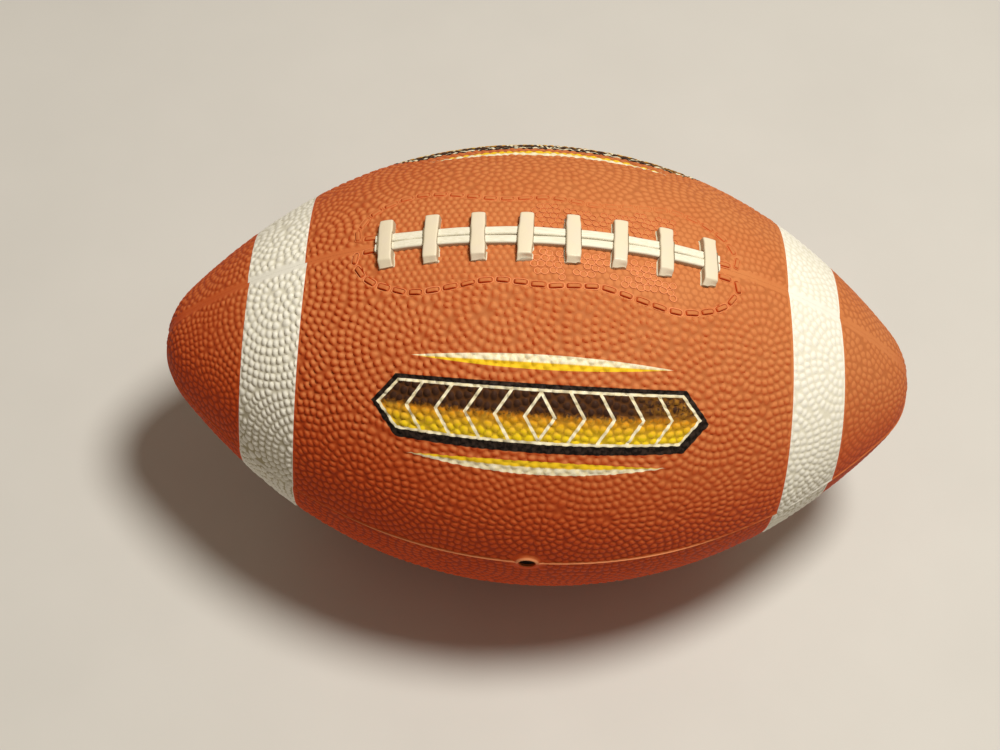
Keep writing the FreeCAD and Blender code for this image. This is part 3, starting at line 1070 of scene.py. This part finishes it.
class Shader:
    """A node material under construction, with short calls for its nodes."""

    def __init__(self, name):
        self.material = bpy.data.materials.new(name)
        self.material.use_nodes = True
        self.tree = self.material.node_tree
        self.surface = self.tree.nodes["Principled BSDF"]

    def link(self, value, socket):
        """Sets a socket to a number or colour, or joins an output to it."""
        if isinstance(value, bpy.types.NodeSocket):
            self.tree.links.new(value, socket)
        elif isinstance(value, tuple) and len(socket.default_value) == 4:
            socket.default_value = (*value, 1.0)
        else:
            socket.default_value = value

    def node(self, kind, inputs=(), **settings):
        """A new node with some settings and inputs."""
        node = self.tree.nodes.new("ShaderNode" + kind)
        for name, value in settings.items():
            setattr(node, name, value)
        for key, value in dict(inputs).items():
            self.link(value, node.inputs[key])
        return node

    def math(self, operation, *values):
        """A Math node over numbers or outputs."""
        return self.node("Math", enumerate(values), operation=operation).outputs[0]

    plus = partialmethod(math, "ADD")
    minus = partialmethod(math, "SUBTRACT")
    times = partialmethod(math, "MULTIPLY")
    scaled = partialmethod(math, "MULTIPLY_ADD")
    size_of = partialmethod(math, "ABSOLUTE")

    def stain(self, colour, share, mark, tint, blend="MIX"):
        """A colour stained with a tint as far as a mark and a share say."""
        return self.mix(self.times(mark, share), colour, tint, blend)

    def step(self, value, low, high):
        """0 below low, 1 above high, and a smooth rise between them."""
        inputs = enumerate((value, low, high, 0.0, 1.0))
        return self.node("MapRange", inputs, interpolation_type="SMOOTHSTEP").outputs[0]

    def mix(self, share, first, second, blend="MIX"):
        """A mix of two colours."""
        inputs = {0: share, 6: first, 7: second}
        return self.node("Mix", inputs, data_type="RGBA", blend_type=blend).outputs[2]

    def attribute(self, name):
        """A number stored on the mesh."""
        return self.node("Attribute", attribute_name=name).outputs["Fac"]

    def light_facing(self, low, high):
        """How squarely the surface faces the light, for painted light and shade."""
        normal = self.node("NewGeometry").outputs["Normal"]
        facing = self.node("VectorMath", {0: normal, 1: PAINTED_LIGHT_FROM}, operation="DOT_PRODUCT")
        return self.step(facing.outputs["Value"], low, high)

    def place(self, **mapped):
        """The point's own place in the object's frame, which may be mapped."""
        place = self.node("TexCoord").outputs["Object"]
        return self.node("Mapping", {"Vector": place, **mapped}).outputs[0] if mapped else place

    def noise(self, size, detail=3.0, **mapped):
        """A noise with features of about a size in millimetres."""
        inputs = {"Scale": 1 / (size * METRES), "Detail": detail, "Vector": self.place(**mapped)}
        return self.node("TexNoise", inputs).outputs["Fac"]

    def blotches(self, size, detail, low, high, **mapped):
        """Where a noise of a size is high."""
        return self.step(self.noise(size, detail, **mapped), low, high)

    def bump(self, height, distance):
        """Fine relief of a height in millimetres."""
        inputs = {"Strength": 1.0, "Distance": distance * METRES, "Height": height}
        self.link(self.node("Bump", inputs).outputs[0], self.surface.inputs["Normal"])

    def finish(self, colour, roughness):
        """Joins up the colour and the roughness."""
        self.link(colour, self.surface.inputs["Base Color"])
        self.link(roughness, self.surface.inputs["Roughness"])
        return self.material


def rubber_colour(shader):
    """Orange-brown rubber with painted light: paler facing the light, painted shade in valleys and
    pockets, a painted highlight on raised edges.
    """
    tone = shader.attribute("pebble")
    # Painted light: paler and yellower where the rubber faces the light, deeper red where it faces
    # away.
    body = shader.mix(shader.light_facing(0.1, 1.05), (0.66, 0.080, 0.011), (0.612, 0.221, 0.077))
    # Painted shade in the valleys, darkest on faces turned from the light; the stitch bars take
    # part of it.
    painted_shade = shader.mix(shader.light_facing(-0.35, 0.5), (0.56, 0.44, 0.36), (0.80, 0.73, 0.68))
    body = shader.mix(shader.step(tone, 0.7, 0.0), body, painted_shade, "MULTIPLY")
    blotches = shader.blotches(22.0, 2.0, 0.35, 0.7)
    body = shader.stain(body, 0.6, blotches, (0.96, 0.86, 0.80), "MULTIPLY")
    grime_and_painted_shade = shader.blotches(4.0, 4.0, 0.5, 0.8)
    body = shader.stain(body, 0.4, grime_and_painted_shade, (0.80, 0.70, 0.62), "MULTIPLY")
    # Painted highlight on raised edges: the valve's seam bead, stitch rims, raised rings and the
    # lip's upper ridge.
    body = shader.mix(shader.step(tone, 1.1, 1.8), body, (0.88, 0.34, 0.15))
    # Painted shade in the stitch pockets and inside the valve's hole.
    return shader.mix(shader.step(tone, -0.1, -0.8), body, (0.20, 0.030, 0.007))


def rubber_finish(shader, colour):
    """The rubber's shine and its fine grain."""
    shader.surface.inputs["Specular IOR Level"].default_value = 0.07
    shader.bump(shader.noise(0.35), 0.03)
    return shader.finish(colour, shader.scaled(shader.noise(1.2), 0.22, 0.48))


def cover_material():
    """The plain rubber of the bottom panels, the stitches and the valve's lip."""
    shader = Shader("cover_rubber")
    return rubber_finish(shader, rubber_colour(shader))


def printed_material():
    """The rubber of the top panels, with the printed emblem."""
    shader = Shader("cover_rubber_printed")
    mix, step, stain = shader.mix, shader.step, shader.stain
    plus, minus, size_of = shader.plus, shader.minus, shader.size_of
    rubber = rubber_colour(shader)
    along = minus(shader.attribute("along"), EMBLEM_ALONG)
    shift = (EMBLEM_ROUND_REAR - EMBLEM_ROUND) / 2
    spot = size_of(plus(shader.attribute("round"), shift))
    height = minus(EMBLEM_ROUND + shift, spot)
    reach, flat = size_of(along), size_of(height)

    # A long bar with pointed ends: its depth is how far inside its edge a place is.
    depth = bar_depth(shader, reach, flat)
    shadow_reach = size_of(minus(along, 0.9))
    shadow = bar_depth(shader, shadow_reach, size_of(plus(height, 1.6)))

    # A diamond and chevrons inside the bar, brown above and gold below.
    outward = plus(shader.scaled(flat, 0.6, reach), CHEVRON_PITCH / 2)
    off_chevron = shader.math("PINGPONG", outward, CHEVRON_PITCH / 2)
    speckle = shader.blotches(1.5, 2.0, 0.38, 0.62)
    fade = shader.scaled(speckle, 1.4, height)
    gold = mix(step(fade, 1.0, -7.5), (0.66, 0.24, 0.012), (0.86, 0.62, 0.012))
    gold = stain(gold, 0.5, speckle, (0.90, 0.56, 0.05))
    worn = shader.times(step(along, 26.0, 56.0), speckle)
    brown = stain((0.050, 0.021, 0.012), 0.7, worn, (0.50, 0.22, 0.02))
    fill = mix(step(fade, -0.6, 2.6), gold, brown)
    # Painted shade in the valleys of the printed fill.
    valley = step(shader.attribute("pebble"), 0.5, 0.0)
    fill = stain(fill, 0.45, valley, (0.14, 0.050, 0.010))
    cream = mix(speckle, (0.84, 0.74, 0.48), (0.92, 0.86, 0.66))
    black = mix(speckle, (0.010, 0.007, 0.006), (0.034, 0.022, 0.017))
    fill = mix(step(off_chevron, 0.72, 0.5), fill, cream)
    bar = mix(step(depth, 2.6, 2.8), cream, fill)
    bar = mix(step(depth, 1.6, 1.8), black, bar)

    # Two slim tapered lines, one on each side of the bar, pale outside and gold inside.
    taper = shader.math("DIVIDE", reach, LINE_HALF_LENGTH)
    taper = shader.scaled(shader.times(taper, taper), -1.0, 1.0)
    off_line = minus(flat, LINE_OFF)
    line_depth = minus(shader.times(taper, LINE_HALF_WIDTH), size_of(off_line))
    line = mix(step(off_line, -0.5, 0.1), (0.86, 0.56, 0.020), cream)

    colour = mix(step(line_depth, -0.08, 0.12), rubber, line)
    colour = mix(step(shadow, -0.15, 0.15), colour, black)
    colour = mix(step(depth, -0.12, 0.12), colour, bar)
    return rubber_finish(shader, colour)


def bar_depth(shader, reach, flat):
    """How far inside a long bar with pointed ends a place is, from its two offsets."""
    point = shader.scaled(flat, 0.75, reach)
    from_end = shader.times(shader.minus(EMBLEM_HALF_LENGTH, point), 0.8)
    return shader.math("MINIMUM", from_end, shader.minus(EMBLEM_HALF_HEIGHT, flat))


def stripe_material():
    """Off-white rubber with painted shade in the valleys, deepest low down where it faces away
    from the light.
    """
    shader = Shader("stripe_rubber")
    pebble = shader.attribute("pebble")
    # Painted shade in the valleys, darkest on faces turned from the light.
    valley = shader.mix(shader.light_facing(-0.2, 0.5), (0.40, 0.35, 0.22), (0.80, 0.77, 0.65))
    colour = shader.mix(shader.step(pebble, 0.0, 0.5), valley, (0.89, 0.87, 0.79))
    blotches = shader.blotches(9.0, 3.0, 0.45, 0.75)
    colour = shader.stain(colour, 0.4, blotches, (0.82, 0.79, 0.66))
    return rubber_finish(shader, colour)


def crossbar_material():
    """Cream vinyl with faint scuffs and a moulded skin."""
    shader = Shader("lace_bar")
    scuffs = shader.blotches(2.2, 3.0, 0.45, 0.75, Scale=(1.0, 0.6, 1.0))
    colour = shader.stain((0.79, 0.70, 0.53), 0.35, scuffs, (0.68, 0.58, 0.43))
    blotches = shader.blotches(7.0, 2.0, 0.4, 0.7)
    colour = shader.stain(colour, 0.5, blotches, (0.76, 0.66, 0.55))
    # Painted shade on the bar's side faces.
    colour = shader.stain(colour, 0.75, shader.attribute("grime_and_painted_shade"), (0.36, 0.31, 0.19))
    shader.bump(shader.noise(0.5), 0.04)
    return shader.finish(colour, shader.scaled(scuffs, 0.2, 0.38))


def cord_material():
    """White cord with fine lengthwise fibres."""
    shader = Shader("lace_cord")
    fibres = shader.noise(0.35, Scale=(0.08, 1.0, 1.0))
    colour = shader.mix(shader.step(fibres, 0.35, 0.65), (0.77, 0.73, 0.58), (0.87, 0.83, 0.71))
    # Painted shade on the cord's outer side.
    colour = shader.stain(colour, 0.65, shader.attribute("grime_and_painted_shade"), (0.38, 0.30, 0.19))
    shader.bump(fibres, 0.04)
    return shader.finish(colour, shader.scaled(fibres, 0.2, 0.45))


def plain_rubber_material(name, dark, light, roughness):
    """Plain moulded rubber with soft mottling and a fine skin."""
    shader = Shader(name)
    colour = shader.mix(shader.blotches(3.0, 3.0, 0.35, 0.7), dark, light)
    shader.bump(shader.noise(0.4), 0.03)
    return shader.finish(colour, shader.scaled(shader.noise(1.5, 2.0), 0.2, roughness))


def thread_material():
    """Thread wound round the bladder in two crossing directions."""
    shader = Shader("winding_thread")
    waves = []
    for turn in (0.5, -0.5):
        place = shader.place(Rotation=(turn, turn, turn))
        wave_node = shader.node("TexWave", {"Scale": 260, "Distortion": 1.5, "Vector": place})
        waves.append(wave_node.outputs["Fac"])
    threads = shader.math("MAXIMUM", *waves)
    colour = shader.mix(shader.step(threads, 0.3, 0.9), (0.34, 0.29, 0.20), (0.74, 0.69, 0.56))
    shader.bump(threads, 0.15)
    return shader.finish(colour, shader.scaled(threads, -0.15, 0.85))


# Inner CAD nodes of plain rubber: the material's name, its dark and light colours, its roughness.
INNER_LOOKS = {
    "bladder": ("bladder_rubber", (0.012, 0.012, 0.013), (0.035, 0.034, 0.033), 0.32),
    "carcass_layer": ("carcass_rubber", (0.05, 0.035, 0.025), (0.11, 0.08, 0.055), 0.6),
    "valve_body": ("valve_rubber", (0.010, 0.008, 0.007), (0.030, 0.022, 0.018), 0.4),
    "valve_plug": ("plug_rubber", (0.030, 0.020, 0.016), (0.070, 0.045, 0.034), 0.45),
}


def dress_cad_nodes():
    """Gives the inner CAD nodes their materials."""
    materials = {node: plain_rubber_material(*look) for node, look in INNER_LOOKS.items()}
    materials["thread_winding"] = thread_material()
    for node, material in materials.items():
        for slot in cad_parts[node].material_slots:
            slot.material = material


# ---- the setting


def make_floor():
    """A plain pale floor under the ball, with a fine grain."""
    shader = Shader("floor")
    colour = shader.mix(shader.noise(60.0, 4.0), (0.62, 0.61, 0.59), (0.68, 0.67, 0.65))
    mesh = bpy.data.meshes.new("floor")
    corners = [(-1, -1), (1, -1), (1, 1), (-1, 1)]
    corners = [(x * FLOOR_REACH, y * FLOOR_REACH, 0) for x, y in corners]
    mesh.from_pydata(corners, [], [(0, 1, 2, 3)])
    mesh.materials.append(shader.finish(colour, 0.7))
    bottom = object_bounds()[0].z
    floor = add_object("floor", mesh)
    floor.location.z = bottom


def make_lights():
    """A soft warm key almost overhead, and a dim warm world."""
    data = bpy.data.lights.new("key", "AREA")
    data.shape = "DISK"
    data.size = KEY_SIZE
    data.energy = KEY_POWER
    data.color = KEY_COLOUR
    key = add_object("key", data)
    key.location = KEY_AT
    key.rotation_euler = Vector(KEY_AT).to_track_quat("Z", "Y").to_euler()
    world = bpy.data.worlds.new("world")
    bpy.context.scene.world = world
    world.use_nodes = True
    background = world.node_tree.nodes["Background"]
    background.inputs["Color"].default_value = WORLD_COLOUR
    background.inputs["Strength"].default_value = WORLD_STRENGTH
    bpy.context.scene.view_settings.view_transform = "Standard"


def make_camera():
    """The camera, looking down on the laces from in front of the ball."""
    data = bpy.data.cameras.new("camera")
    data.lens = CAMERA_LENS
    data.clip_start = 0.01
    camera = add_object("camera", data)
    back = (CAMERA_AT - CAMERA_TARGET).normalized()
    right = CAMERA_UP.cross(back).normalized()
    up = back.cross(right)
    turn = Matrix((right, up, back)).transposed().to_4x4()
    camera.matrix_world = Matrix.Translation(CAMERA_AT) @ turn
    bpy.context.scene.camera = camera


def main():
    """Builds every piece around the frame."""
    plain = cover_material()
    printed = printed_material()
    pale = stripe_material()
    for panel in PANELS:
        make_panel(panel, printed if panel.place.endswith("top") else plain)
        for side in (-1, 1):
            make_stripe(panel, side, pale)
    cream = crossbar_material()
    for number in BAR_NUMBERS:
        make_crossbar(number, cream)
    white = cord_material()
    for side in (1, -1):
        make_cord(side, white)
        make_stitches(side, plain)
        make_rings(side, plain)
    make_valve_lip(plain)
    dress_cad_nodes()
    make_floor()
    make_lights()
    make_camera()


main()
